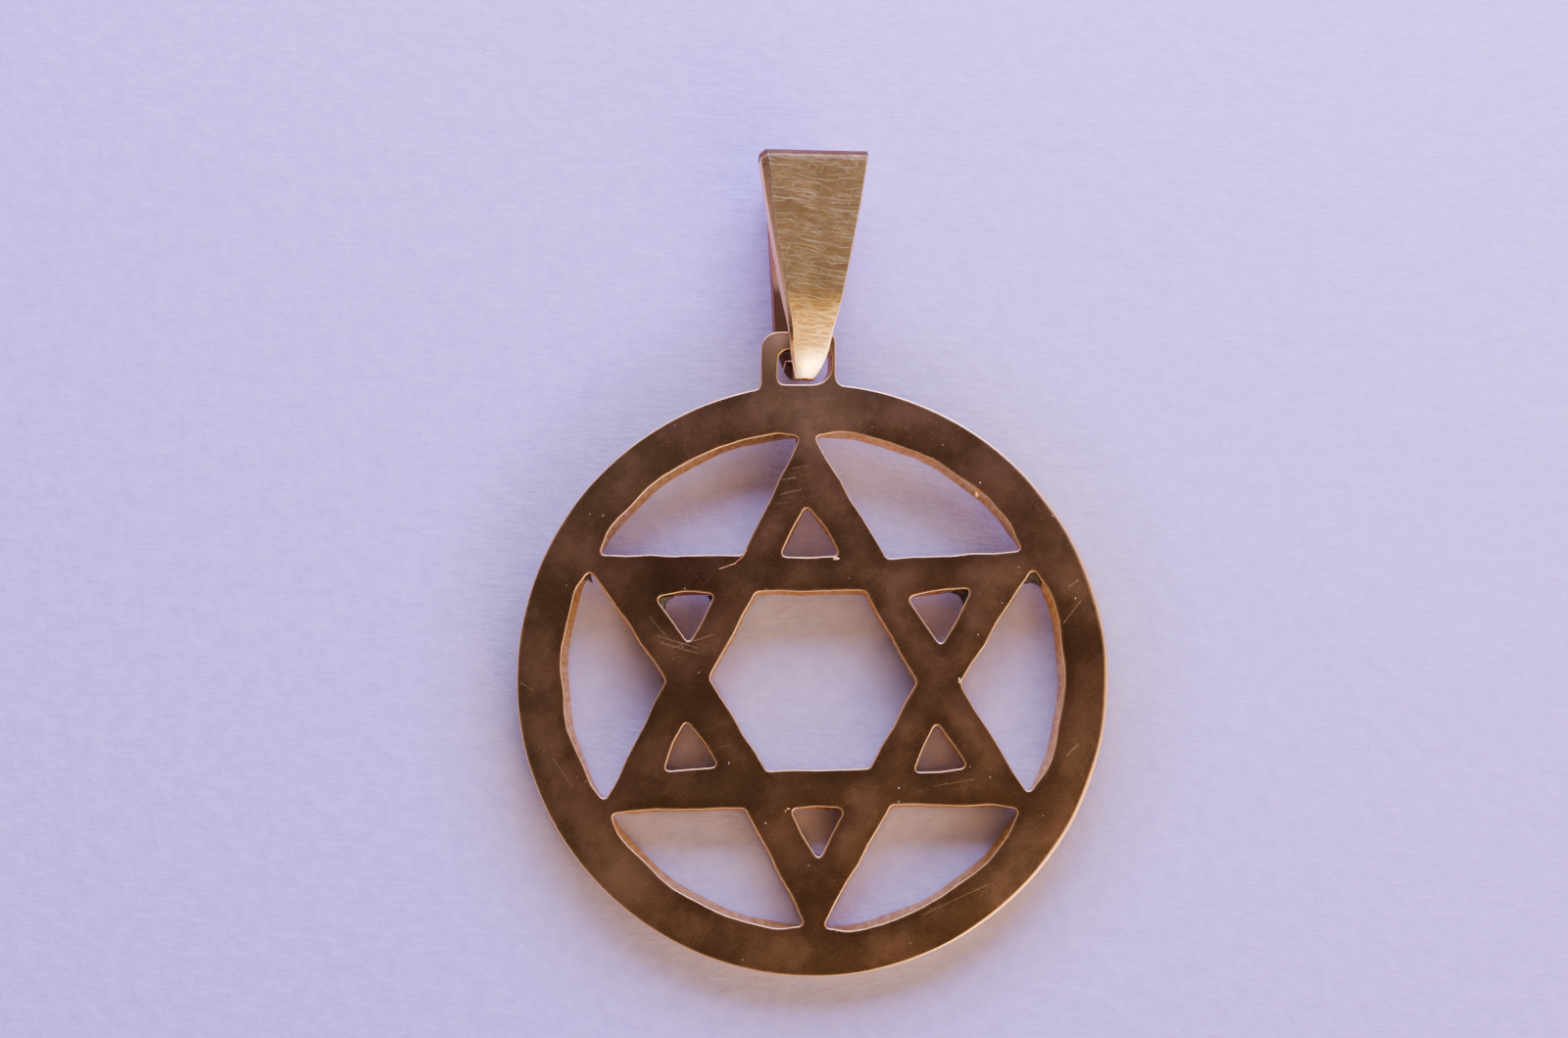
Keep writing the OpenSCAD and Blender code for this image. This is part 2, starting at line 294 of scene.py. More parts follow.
def wall_rows(top, low, rim, slant, thick):
    """Rows of points over the rim, down the wall and round to the back: points, height, how much wall."""
    into = crisp_inward(top)
    marks = FILE_MARKS * ripple(top, 0.16, 9) + FILE_MARKS * ripple(top, 0.5, 6)
    rows = [(slant + rim + CRISP_STRIP, thick / 2, 0)]
    for turn in np.radians(RIM_TURNS):
        shift = slant + rim * (1 - math.sin(turn))
        rows.append((shift, thick / 2 - rim * (1 - math.cos(turn)), math.sin(turn) ** 2))
    deep = thick - rim - BACK_RIM
    for share in WALL_SHARES:
        shift = slant * (1 - share) ** 1.6 + np.abs(marks) * min(1, 4 * share)
        rows.append((shift, thick / 2 - rim - share * deep, 1))
    for turn in np.radians(BACK_TURNS):
        shift = BACK_RIM * (1 - math.sin(turn))
        rows.append((shift, -thick / 2 + BACK_RIM * (1 - math.cos(turn)), math.sin(turn) ** 2))
    rows.append((BACK_RIM + CRISP_STRIP, -thick / 2, 0))
    made = []
    for shift, height, wall in rows:
        shift, height = (np.broadcast_to(value, len(top)) for value in (shift, height))
        share = ((thick / 2 - height) / thick)[:, None]
        made.append((top * (1 - share) + low * share + into * shift[:, None], height, wall))
    return made


def band_faces(base, rows, count, turned=False, closed=False):
    """Faces between rows of count points; turned swaps their sides, closed joins last row to first."""
    faces = []
    for row in range(rows if closed else rows - 1):
        here, there = base + row * count, base + (row + 1) % rows * count
        for k in range(count):
            after = (k + 1) % count
            face = [here + k, there + k, there + after, here + after]
            faces.append(face[:1] + face[:0:-1] if turned else face)
    return faces


def distances(lines, points):
    """How far each point lies from the nearest of the lines."""
    tree = kdtree.KDTree(sum(len(line) for line in lines))
    for i, point in enumerate(np.vstack(lines)):
        tree.insert((*point, 0), i)
    tree.balance()
    return np.array([tree.find((*p, 0))[2] for p in points])


def flat_points(lines):
    """Slightly shifted points of a three-way grid that lie clear of all lines."""
    noise.seed_set(GRID_SEED)
    low, high = lines[0].min(0), lines[0].max(0)
    made = []
    rows = np.arange(low[1], high[1], FLAT_STEP * GRID_ROWS)
    for row, y in enumerate(rows):
        for x in np.arange(low[0] + FLAT_STEP / 2 * (row % 2), high[0], FLAT_STEP):
            shift = GRID_SHIFT * FLAT_STEP * noise.noise_vector(Vector((x * 9, y * 9, 3)))
            made.append((x + shift.x, y + shift.y))
    made = np.array(made)
    return made[distances(lines, made) > FLAT_CLEAR]


def flat_faces(lines, inner):
    """Triangles of the metal between the closed lines, as numbers of the lines' points and the inner ones."""
    spots = [Vector(p) for p in np.vstack([*lines, inner])]
    starts = np.cumsum([0] + [len(line) for line in lines])
    borders = [list(range(starts[i], starts[i + 1])) for i in range(len(lines))]
    _, _, faces, sources, _, _ = geometry.delaunay_2d_cdt(spots, [], borders, 2, 1e-7)
    number = [source[0] if source else None for source in sources]
    return [[number[i] for i in face] for face in faces]


def sink(points, distance, seed):
    """How far the worn surface lies under the plate's true face."""
    wave = 1.2 + ripple(points, 2.6, seed) + 0.4 * ripple(points, 0.9, seed + 1)
    return RIM_FALL * np.exp(-distance / RIM_FALL_REACH) + FLAT_WAVE * wave


def rim_radius(line, radius, outside):
    """How round the rim is worn at each point of a closed line."""
    if outside:
        bearing = line / np.linalg.norm(line, axis=1, keepdims=True)
        rim = RING_RIM + RING_RIM_RIGHT * soft_step(bearing[:, 0], *RIGHT_SIDE)
        rim = rim * (1 + 0.3 * ripple(line, 2.2, 3))
        at_ear = soft_step(line[:, 1], *(radius - below for below in EAR_FADES))
    else:
        rim = WINDOW_RIM * (1 + 0.35 * ripple(line, 0.9, 3))
        at_ear = line[:, 1] > radius - EAR_FROM
    return blurred(rim + (EAR_RIM - rim) * at_ear, 4)


def make_plate():
    """The sawn plate, from parts that are each points with their wall, edge and from_window."""
    axes, radius, thick, tops, under = read_plate()
    parts, faces = [], []
    top_lines, low_lines, top_starts, low_starts = [], [], [], []
    for i, (top, low) in enumerate(zip(tops, under)):
        outside = i == 0
        count = int(line_length(top) / LINE_STEP)
        top, low = evenly(top, count), evenly(low, count)
        if outside:
            top, low = rounded_ring(top, radius), rounded_ring(low, radius)
            top, low = blurred(top, 3), blurred(low, 3)
            slant = np.zeros(count)
        else:
            top, low = blurred(top, 1), blurred(low, 1)
            slant = filed_back(top, radius) * (top[:, 1] < radius - EAR_FROM)
        rows = wall_rows(top, low, rim_radius(top, radius, outside), slant, thick)
        base = sum(len(part[0]) for part in parts)
        top_lines.append(rows[0][0])
        low_lines.append(rows[-1][0])
        top_starts.append(base)
        low_starts.append(base + count * (len(rows) - 1))
        worn = sink(top, np.zeros(count), 1)
        for row, (spots, height, wall) in enumerate(rows):
            on_top = row <= len(RIM_TURNS)
            points = np.column_stack([spots, height - worn * on_top])
            parts.append((points, wall, 0, FAR if outside else 0))
        faces += band_faces(base, len(rows), count)
    flats = ((top_lines, top_starts, 1, 1, 0), (low_lines, low_starts, -1, 11, RIM_FALL + FLAT_WAVE))
    for lines, starts, side, seed, spared in flats:
        inner = flat_points(lines)
        base = sum(len(part[0]) for part in parts)
        numbers = [np.arange(len(line)) + start for line, start in zip(lines, starts)]
        numbers = np.concatenate([*numbers, np.arange(len(inner)) + base])
        faces += [[int(numbers[i]) for i in triangle][::side] for triangle in flat_faces(lines, inner)]
        distance = distances(lines, inner)
        worn = np.maximum(sink(inner, distance, seed) - spared, 0)
        points = np.column_stack([inner, side * (thick / 2 - worn)])
        parts.append((points, 0, distance, distances(lines[1:], inner)))
    points = np.vstack([part[0] for part in parts])
    facts = {"place": points}
    for i, name in ((1, "wall"), (2, "edge"), (3, "from_window")):
        facts[name] = np.concatenate([np.broadcast_to(part[i], len(part[0])) for part in parts])
    return new_piece("sawn_plate", axes.place(points), faces, facts), axes, thick


# Burrs and solder on the plate: place in mm from the middle of its thickness, and size each way
BURRS = [
    ((-4.88, 4.33, 0.51), (0.07, 0.09, 0.03)), ((0.95, 5.08, 0.50), (0.16, 0.07, 0.07)),
    ((-1.10, -5.52, 0.28), (0.26, 0.16, 0.25)), ((-0.12, -7.86, 0.42), (0.10, 0.16, 0.12)),
    ((6.92, 7.85, 0.38), (0.06, 0.14, 0.08)), ((6.20, -0.05, 0.47), (0.10, 0.12, 0.08)),
]
# A thin lip of metal that a slipped saw raised: its points in mm, its thickness, and how deep it sits
SLIPPED_SAW = [
    (-2.79, 5.43), (-2.99, 5.13), (-3.33, 4.84), (-3.93, 4.63), (-4.41, 4.53), (-4.84, 4.43), (-4.88, 4.33),
]
LIP = 0.017
LIP_SUNK = 0.03
# Dirt in the corners of the windows: corner in mm, which way it opens and how wide in degrees,
# size, top and bottom from the middle of the thickness, and how grey it is
DIRT = [
    ((-6.70, 3.45), -28, 62, 0.80, 0.36, -0.3, 0.6), ((6.85, 3.88), 217, 62, 1.05, 0.36, -0.5, 0.0),
    ((9.36, 4.73), 263, 58, 0.90, 0.36, -0.5, 0.2), ((-0.50, 10.48), 218, 54, 0.52, 0.12, -0.4, 0.1),
    ((0.32, -8.05), 90, 62, 0.95, 0.10, -0.5, 0.4), ((-9.50, 4.50), 262, 52, 0.50, 0.15, -0.4, 0.1),
    ((-4.24, 3.49), 210, 62, 0.26, 0.30, -0.3, 0.0),
]
# How far the dirt reaches into the metal behind its corner
DIRT_BEHIND = 0.05


def lumps(list_of_lumps):
    """The points and faces of small uneven lumps."""
    ball = bmesh.new()
    bmesh.ops.create_icosphere(ball, subdivisions=3, radius=1)
    round_points = np.array([v.co for v in ball.verts])
    round_faces = [[v.index for v in face.verts] for face in ball.faces]
    ball.free()
    points, faces = [], []
    for seed, (place, size) in enumerate(list_of_lumps):
        spot = Vector((seed * 9, 0, 0))
        uneven = np.array([noise.fractal(Vector(p) * 1.3 + spot, 1, 2, 3) for p in round_points])
        faces += [[i + len(points) * len(round_points) for i in face] for face in round_faces]
        points.append(round_points * (1 + 0.35 * uneven[:, None]) * np.array(size) + np.array(place))
    return np.vstack(points), faces


def make_burrs(axes, thick):
    """Small burrs, and a thin round bead along the line of the slipped saw."""
    points, faces = lumps(BURRS)
    line = [Vector((*p, thick / 2 - LIP_SUNK)) for p in SLIPPED_SAW]
    around = 8
    rows = []
    for i in range(len(line) - 1):
        for share in np.linspace(0, 1, 6, endpoint=i == len(line) - 2):
            spot = line[i].lerp(line[i + 1], share)
            width = LIP * (1 + 0.25 * noise.noise(spot * 4))
            side = (line[i + 1] - line[i]).cross(Vector((0, 0, 1))).normalized()
            rows.append([
                spot + side * width * math.cos(a) + Vector((0, 0, width * 1.1 * math.sin(a)))
                for a in np.linspace(0, 2 * math.pi, around, endpoint=False)
            ])
    base = len(points)
    faces += band_faces(base, len(rows), around, turned=True)
    faces.append([base + k for k in range(around)][::-1])
    faces.append([base + (len(rows) - 1) * around + k for k in range(around)])
    points = np.vstack([points, np.array(rows).reshape(-1, 3)])
    far = np.ones(len(points))
    wall = np.where(np.arange(len(points)) < base, 0.8, 0.0)
    facts = {"place": points, "wall": wall, "edge": far, "from_window": far}
    return new_piece("saw_burrs", axes.place(points), faces, facts)


def make_dirt(axes):
    """Dirt that fills the corners of the windows, with a hollow, crumbly front."""
    points, faces, greys = [], [], []
    layers, around = 8, 14
    for seed, ((x, y), facing, opening, size, top, bottom, grey) in enumerate(DIRT):
        base = len(points)
        for layer in range(layers):
            share = layer / (layers - 1)
            z = top + (bottom - top) * share
            for k in range(around):
                side = 2 * k / (around - 1) - 1
                angle = math.radians(facing + opening / 2 * side)
                reach = size * (0.72 + 0.28 * math.sqrt(share)) * (1 - 0.35 * (1 - side * side))
                reach *= 1 + 0.22 * noise.noise(Vector((side * 3, share * 4, seed * 7)))
                sagging = 0.12 * abs(side) if layer == 0 else 0
                height = z - sagging + 0.04 * noise.noise(Vector((k, layer, seed * 5)))
                points.append((x + reach * math.cos(angle), y + reach * math.sin(angle), height))
            back = math.radians(facing)
            points.append((x - DIRT_BEHIND * math.cos(back), y - DIRT_BEHIND * math.sin(back), z))
        faces += band_faces(base, layers, around + 1)
        faces += [[base + k, base + k + 1, base + around] for k in range(around - 1)]
        last = base + (layers - 1) * (around + 1)
        faces += [[last + k + 1, last + k, last + around] for k in range(around - 1)]
        greys += [grey] * (len(points) - base)
    return new_piece("corner_dirt", axes.place(points), faces, {"place": points, "grey": greys})


def read_bail():
    """The bail's axes from its pivot, and its four edges as lines of matching points, from the fold on."""
    joint = frame["joints"][0]
    across = Vector(joint["axis"]).normalized()
    pivot = Vector(joint["pos_m"])
    reach = [v.co - pivot for v in frame["nodes"]["bail"].data.vertices]
    farthest = max(r.length for r in reach)
    fold = sum((r for r in reach if r.length > 0.8 * farthest), Vector())
    along = (fold - across * fold.dot(across)).normalized()
    axes = Axes(pivot, across, across.cross(along))
    sides = []
    for sign in (-1, 1):
        pair = sorted((axes.read(line) for line in rims("bail", across * sign, SIDE_FACE)), key=line_length)
        for line in pair:
            y, z = line[:, 1], line[:, 2]
            if (y * np.roll(z, -1) - z * np.roll(y, -1)).sum() > 0:
                y, z, line = y[::-1], z[::-1], line[::-1]
            sides.append(np.roll(line, -int(np.argmax(2 * y + z)), axis=0))
    inner_left, outer_left, inner_right, outer_right = sides
    return axes, np.stack([outer_left, outer_right, inner_right, inner_left], 1)


def more_sections(rails):
    """Sections about a step apart on smooth lines through the given ones. A long end wall stays straight."""
    n = len(rails)
    middle = rails.mean(1)
    made = []
    for i in range(n):
        p0, p1, p2, p3 = (rails[(i + k) % n] for k in (-1, 0, 1, 2))
        gaps = [np.linalg.norm(middle[(i + k + 1) % n] - middle[(i + k) % n]) for k in (-1, 0, 1)]
        steps = max(2, round(gaps[1] / BAIL_STEP))
        t0, t1, t2 = -math.sqrt(gaps[0]), 0.0, math.sqrt(gaps[1])
        t3 = t2 + math.sqrt(gaps[2])
        straight = gaps[1] > LONG_STRETCH * min(gaps[0], gaps[2])
        for k in range(steps):
            t = t2 * k / steps
            if straight:
                made.append(p1 + (p2 - p1) * k / steps)
                continue
            a1 = ((t1 - t) * p0 + (t - t0) * p1) / (t1 - t0)
            a2 = ((t2 - t) * p1 + (t - t1) * p2) / (t2 - t1)
            a3 = ((t3 - t) * p2 + (t - t2) * p3) / (t3 - t2)
            b1 = ((t2 - t) * a1 + (t - t0) * a2) / (t2 - t0)
            b2 = ((t3 - t) * a2 + (t - t1) * a3) / (t3 - t1)
            made.append(((t2 - t) * b1 + (t - t1) * b2) / (t2 - t1))
    return np.array(made)


def filed_foot(flat, sections):
    """Round off the foot of the front leaf, and its corners a little more."""
    rows = np.repeat(sections, len(flat) // len(sections), axis=0)
    outer, inner = rows[:, :2].mean(1), rows[:, 2:].mean(1)
    half = np.linalg.norm(rows[:, 1] - rows[:, 0], axis=1) / 2
    across = np.clip(np.abs(flat[:, 0] - outer[:, 0]) / half, 0, 1)
    through = (inner - outer) * np.array([0, 1, 1])
    share = 1 - ((flat - outer) * through).sum(1) / (through ** 2).sum(1)
    front = outer[:, 2] > 0
    level = outer[front][np.argmin(np.abs(outer[front][:, 1] - FOOT_FROM)), 2]
    reach = np.clip(FOOT_FROM - outer[:, 1], 0, None)
    filed_to = level - FOOT_RADIUS + np.sqrt(FOOT_RADIUS ** 2 - reach ** 2)
    depth = np.clip(outer[:, 2] - filed_to, 0, None) * front * (reach > 0)
    depth += FOOT_CROWN * across ** 2 * soft_step(reach, 0, FOOT_CROWN_GROWS) * (depth > 0)
    return flat - np.array([0, 0, 1]) * (depth * np.clip(share, 0, 1))[:, None]


def bail_section(corners, top):
    """The points round one section of the strip, and lists of its edge, wall and inside at each."""
    front = soft_step(corners[0][2], *BEVEL_HEIGHTS)
    at_fold = soft_step(corners[0][1], *(top * share for share in BEVEL_GROWS))
    bevel = BEVEL + (BEVEL_AT_FOLD - BEVEL) * at_fold
    radii = [BAIL_EDGE + (bevel - BAIL_EDGE) * front, BAIL_EDGE, BAIL_EDGE, BAIL_EDGE]
    made = []
    for c, pieces in enumerate(STRIP_PIECES):
        here, before, after = corners[c], corners[c - 1], corners[(c + 1) % 4]
        back = (before - here) / np.linalg.norm(before - here)
        ahead = (after - here) / np.linalg.norm(after - here)
        for turn, share in zip(np.radians(EDGE_TURNS), BEVEL_SHARES):
            shift = back * (1 - math.sin(turn)) + ahead * (1 - math.cos(turn))
            if c == 0:
                shift += (back * (1 - share) + ahead * share - shift) * front
            wall = math.cos(turn) if c in (0, 2) else math.sin(turn)
            made.append((here + radii[c] * shift, 0.0, wall, (0.0, 0.0, 1.0, 1.0)[c]))
        start = here + radii[c] * ahead
        end = after - radii[(c + 1) % 4] * ahead
        length = np.linalg.norm(end - start)
        strip = CRISP_STRIP / length
        for share in (strip, *(i / pieces for i in range(1, pieces)), 1 - strip):
            edge = min(share, 1 - share) * length
            made.append((start + (end - start) * share, edge, float(c in (1, 3)), (0.0, 0.5, 1.0, 0.5)[c]))
    return zip(*made)


def make_bail():
    """The bent strip with rounded edges; place on it is across, along the strip from the fold, and up."""
    axes, rails = read_bail()
    sections = more_sections(rails)
    top = sections[:, 0, 1].max()
    middle = sections.mean(1)
    run = np.concatenate([[0], np.cumsum(np.linalg.norm(np.diff(middle, axis=0), axis=1))])
    points, facts = [], {"place": [], "edge": [], "wall": [], "inside": []}
    for so_far, corners in zip(run, sections):
        spots, edge, wall, inside = bail_section(corners, top)
        along = (so_far + run[-1] / 2) % run[-1] - run[-1] / 2
        points.append(spots)
        for name, values in zip(facts, ([(p[0], along, p[2]) for p in spots], edge, wall, inside)):
            facts[name].append(values)
    points = np.array(points)
    pull = middle[:, None, :] - points
    pull /= np.linalg.norm(pull, axis=2, keepdims=True)
    pull = pull.reshape(-1, 3) * np.array([0, 1, 1])
    flat = points.reshape(-1, 3)
    wave = (1 + ripple(flat, 1.5, 5) + 0.5 * ripple(flat, 0.5, 8)) * soft_step(facts["edge"], 0, 0.5).ravel()
    flat = filed_foot(flat + pull * (BAIL_WAVE * wave)[:, None], sections)
    faces = band_faces(0, *points.shape[:2], turned=True, closed=True)
    facts = {name: np.array(rows, float).reshape(len(flat), -1).squeeze() for name, rows in facts.items()}
    return new_piece("folded_bail", axes.place(flat), faces, facts)


def face_outwards(piece):
    mesh = bmesh.new()
    mesh.from_mesh(piece.data)
    bmesh.ops.recalc_face_normals(mesh, faces=mesh.faces)
    mesh.to_mesh(piece.data)
    mesh.free()


class Wiring:
    """A shader's nodes, written line by line. Each call adds a node and gives its output."""

    def __init__(self, tree):
        self.tree = tree

    def put(self, kind, inputs, out=0, **settings):
        made = self.tree.nodes.new("ShaderNode" + kind)
        for name, value in settings.items():
            setattr(made, name, value)
        for name, value in inputs.items():
            if isinstance(value, bpy.types.NodeSocket):
                self.tree.links.new(value, made.inputs[name])
            else:
                made.inputs[name].default_value = value
        return made.outputs[out]

    def split(self, value, kind="XYZ"):
        """The three parts of a place or a colour."""
        return self.put("Separate" + kind, {0: value}).node.outputs

    def calc(self, operation, a, b=0.0, clamp=False):
        return self.put("Math", {0: a, 1: b}, operation=operation, use_clamp=clamp)

    def fade(self, value, start, end, low=0.0, high=1.0):
        inputs = {"Value": value, "From Min": start, "From Max": end, "To Min": low, "To Max": high}
        return self.put("MapRange", inputs, interpolation_type="SMOOTHSTEP")

    def mix(self, mask, a, b, blend_type="MIX"):
        return self.put("Mix", {0: mask, 6: a, 7: b}, 2, data_type="RGBA", blend_type=blend_type)

    def tint(self, mask, share, colour, other):
        """A colour turned towards another by a share of a mask."""
        return self.mix(self.calc("MULTIPLY", mask, share), colour, other)

    def vector(self, operation, a, b, out=0):
        return self.put("VectorMath", {0: a, 1: b}, out, operation=operation)

    def stretch(self, place, scale):
        return self.vector("MULTIPLY", place, scale)

    def noise(self, place, scale, detail=4.0, rough=0.5, out="Fac"):
        inputs = {"Vector": place, "Scale": scale, "Detail": detail, "Roughness": rough}
        return self.put("TexNoise", inputs, out)

    def fact(self, name, out="Fac"):
        return self.put("Attribute", {}, out, attribute_name=name)

    def use(self, group, place, **inputs):
        return self.put("Group", {"Place": place, **inputs}, node_tree=group)


def new_group(name, **inputs):
    """An empty shader group that gives a mask: its wiring, its named inputs, and its output's socket."""
    tree = bpy.data.node_groups.new(name, "ShaderNodeTree")
    for label, value in {"Place": (0, 0, 0), **inputs}.items():
        kind = "Vector" if isinstance(value, tuple) else "Float"
        socket = tree.interface.new_socket(label, in_out="INPUT", socket_type="NodeSocket" + kind)
        socket.default_value = value
    tree.interface.new_socket("Mask", in_out="OUTPUT", socket_type="NodeSocketFloat")
    given = tree.nodes.new("NodeGroupInput").outputs
    result = tree.nodes.new("NodeGroupOutput").inputs[0]
    return Wiring(tree), given, result


def scratches_group():
    """Short straight scratches that lie one way, spread by chance."""
    w, given, result = new_group(
        "Scratches", Angle=0.0, Length=2.0, Gap=0.4, Width=0.04, Share=0.5, Seed=0.0
    )
    inputs = {"Vector": given["Place"], "Angle": given["Angle"]}
    along, across, _ = w.split(w.put("VectorRotate", inputs, rotation_type="Z_AXIS"))
    bend = w.noise(given["Place"], 0.25, 1.0)
    x = w.calc("DIVIDE", along, given["Length"])
    y = w.calc("DIVIDE", w.calc("ADD", across, bend), given["Gap"])
    shift = w.calc("MULTIPLY", given["Seed"], 17.3)
    cell = w.put("CombineXYZ", {0: w.calc("ADD", x, shift), 1: w.calc("ADD", y, shift)})
    inputs = {"Vector": cell, "Scale": 1.0}
    spot = w.put("TexVoronoi", inputs, "Position", voronoi_dimensions="2D")
    chance = w.put("TexVoronoi", inputs, "Color", voronoi_dimensions="2D")
    off_x, off_y, _ = w.split(w.vector("SUBTRACT", cell, spot))
    beside = w.calc("MULTIPLY", w.calc("ABSOLUTE", off_y), given["Gap"])
    line = w.fade(beside, 0.0, w.calc("MULTIPLY", given["Width"], 0.5), 1.0, 0.0)
    ends = w.fade(w.calc("ABSOLUTE", off_x), 0.15, 0.5, 1.0, 0.0)
    first_die, second_die, _ = w.split(chance, "Color")
    there = w.calc("LESS_THAN", first_die, given["Share"])
    depth = w.calc("MULTIPLY_ADD", second_die, 0.7)
    depth.node.inputs[2].default_value = 0.3
    mask = w.calc("MULTIPLY", w.calc("MULTIPLY", line, ends), w.calc("MULTIPLY", there, depth))
    w.tree.links.new(mask, result)
    return w.tree


def single_scratch_group():
    """One straight scratch between two places on the surface."""
    w, given, result = new_group("Single scratch", From=(0, 0, 0), To=(1, 0, 0), Width=0.05)
    run = w.vector("SUBTRACT", given["To"], given["From"])
    reach = w.stretch(w.vector("SUBTRACT", given["Place"], given["From"]), (1, 1, 0))
    dot = w.vector("DOT_PRODUCT", reach, run, "Value")
    share = w.calc("DIVIDE", dot, w.vector("DOT_PRODUCT", run, run, "Value"), clamp=True)
    nearest = w.put("VectorMath", {0: run, "Scale": share}, operation="SCALE")
    away = w.vector("DISTANCE", reach, nearest, "Value")
    thin = w.calc("MULTIPLY", given["Width"], w.fade(w.noise(given["Place"], 4.0, 2.0), 0.3, 0.7, 0.5, 1.2))
    w.tree.links.new(w.fade(away, 0.0, thin, 1.0, 0.0), result)
    return w.tree


def mottling_group():
    """Cloudy patches with finer grain in them, as tarnish spreads."""
    w, given, result = new_group("Mottling", Size=3.0, Grain=0.4, Seed=0.0)
    shift = w.put("CombineXYZ", {0: given["Seed"], 1: given["Seed"], 2: given["Seed"]})
    moved = w.vector("ADD", given["Place"], shift)
    big = w.noise(moved, w.calc("DIVIDE", 1.0, given["Size"]), 3.0, 0.5)
    small = w.noise(moved, w.calc("DIVIDE", 6.0, given["Size"]), 6.0, 0.7)
    grain = w.calc("MULTIPLY", w.calc("SUBTRACT", small, 0.5), given["Grain"])
    mask = w.fade(w.calc("ADD", big, grain), 0.30, 0.70)
    w.tree.links.new(mask, result)
    return w.tree


def rim_strip_group():
    """A strip beside a rim, broken here and there: for worn rims, and for painted shade beside them."""
    w, given, result = new_group("Rim strip", Edge=0.0, Reach=0.1, Seed=0.0)
    shift = w.put("CombineXYZ", {2: given["Seed"]})
    moved = w.vector("ADD", given["Place"], shift)
    uneven = w.fade(w.noise(moved, 1.3, 5.0, 0.65), 0.35, 0.65, 0.35, 1.25)
    reach = w.calc("MULTIPLY", given["Reach"], uneven)
    w.tree.links.new(w.fade(given["Edge"], 0.0, reach, 1.0, 0.0), result)
    return w.tree


def specks_group():
    """Small scattered specks."""
    w, given, result = new_group("Specks", Gap=0.8, Size=0.06, Share=0.3)
    shift = w.stretch(w.noise(given["Place"], 6.0, 2.0, out="Color"), (0.1, 0.1, 0.1))
    moved = w.vector("ADD", given["Place"], shift)
    inputs = {"Vector": moved, "Scale": w.calc("DIVIDE", 1.0, given["Gap"])}
    distance = w.calc("MULTIPLY", w.put("TexVoronoi", inputs, "Distance"), given["Gap"])
    first_die, second_die, _ = w.split(w.put("TexVoronoi", inputs, "Color"), "Color")
    there = w.calc("LESS_THAN", first_die, given["Share"])
    size = w.calc("MULTIPLY", given["Size"], second_die)
    w.tree.links.new(w.calc("MULTIPLY", w.fade(distance, 0.0, size, 1.0, 0.0), there), result)
    return w.tree


def spot_group():
    """One soft round spot with an uneven edge."""
    w, given, result = new_group("Spot", Middle=(0, 0, 0), Radius=1.0)
    away = w.vector("DISTANCE", w.stretch(given["Place"], (1, 1, 0)), given["Middle"], "Value")
    uneven = w.fade(w.noise(given["Place"], 0.5, 2.0, 0.5), 0.3, 0.7, 0.75, 1.25)
    w.tree.links.new(w.fade(w.calc("DIVIDE", away, given["Radius"]), 0.2, uneven, 1.0, 0.0), result)
    return w.tree


SPOT = spot_group()
SCRATCHES = scratches_group()
SINGLE_SCRATCH = single_scratch_group()
MOTTLING = mottling_group()
RIM_STRIP = rim_strip_group()
SPECKS = specks_group()


def new_material(name):
    """A new material: itself, its wiring and its shader's inputs."""
    material = bpy.data.materials.new(name)
    material.use_nodes = True
    shader = material.node_tree.nodes["Principled BSDF"]
    return material, Wiring(material.node_tree), shader.inputs


def connect(w, shader, **values):
    for name, value in values.items():
        w.tree.links.new(value, shader[name.replace("_", " ")])


# The gold's colour at a glancing angle
EDGE_TINT = (1.0, 0.74, 0.52, 1)
# Scratches that stand out on the plate: from and to, in mm from the ring's middle, and width
PLATE_SCRATCHES = [
    ((10.6, 2.4, 0), (11.3, 3.3, 0), 0.05), ((10.8, 3.9, 0), (11.2, 4.2, 0), 0.04),
    ((-1.5, 8.4, 0), (-0.7, 8.5, 0), 0.05), ((-1.4, 7.8, 0), (-0.5, 8.0, 0), 0.05),
    ((-6.6, 1.8, 0), (-4.9, 1.3, 0), 0.04), ((-6.4, 1.5, 0), (-4.8, 1.05, 0), 0.04),
    ((-5.9, 1.3, 0), (-4.2, 1.85, 0), 0.03), ((-6.9, 2.6, 0), (-6.1, 1.7, 0), 0.03),
    ((10.7, -3.2, 0), (11.2, -2.7, 0), 0.05), ((4.6, -9.9, 0), (7.4, -8.6, 0), 0.03),
    ((-10.9, -3.4, 0), (-10.1, -4.6, 0), 0.03), ((5.1, -4.5, 0), (6.8, -4.2, 0), 0.03),
    ((-0.9, 8.9, 0), (-0.2, 9.0, 0), 0.03), ((-1.6, 7.4, 0), (-1.1, 7.45, 0), 0.03),
    ((-3.4, 6.0, 0), (-2.9, 5.2, 0), 0.03), ((-12.3, -0.2, 0), (-11.8, -0.5, 0), 0.04),
]
# Fields of finer scratches on the plate: angle in degrees, length, gap, width, share
PLATE_FIELDS = [
    (-47, 1.5, 0.20, 0.022, 0.35), (-42, 0.6, 0.11, 0.018, 0.35), (52, 0.9, 0.24, 0.02, 0.25),
    (5, 1.0, 0.26, 0.022, 0.25), (-15, 0.4, 0.10, 0.018, 0.3), (-75, 1.1, 0.5, 0.02, 0.2),
]
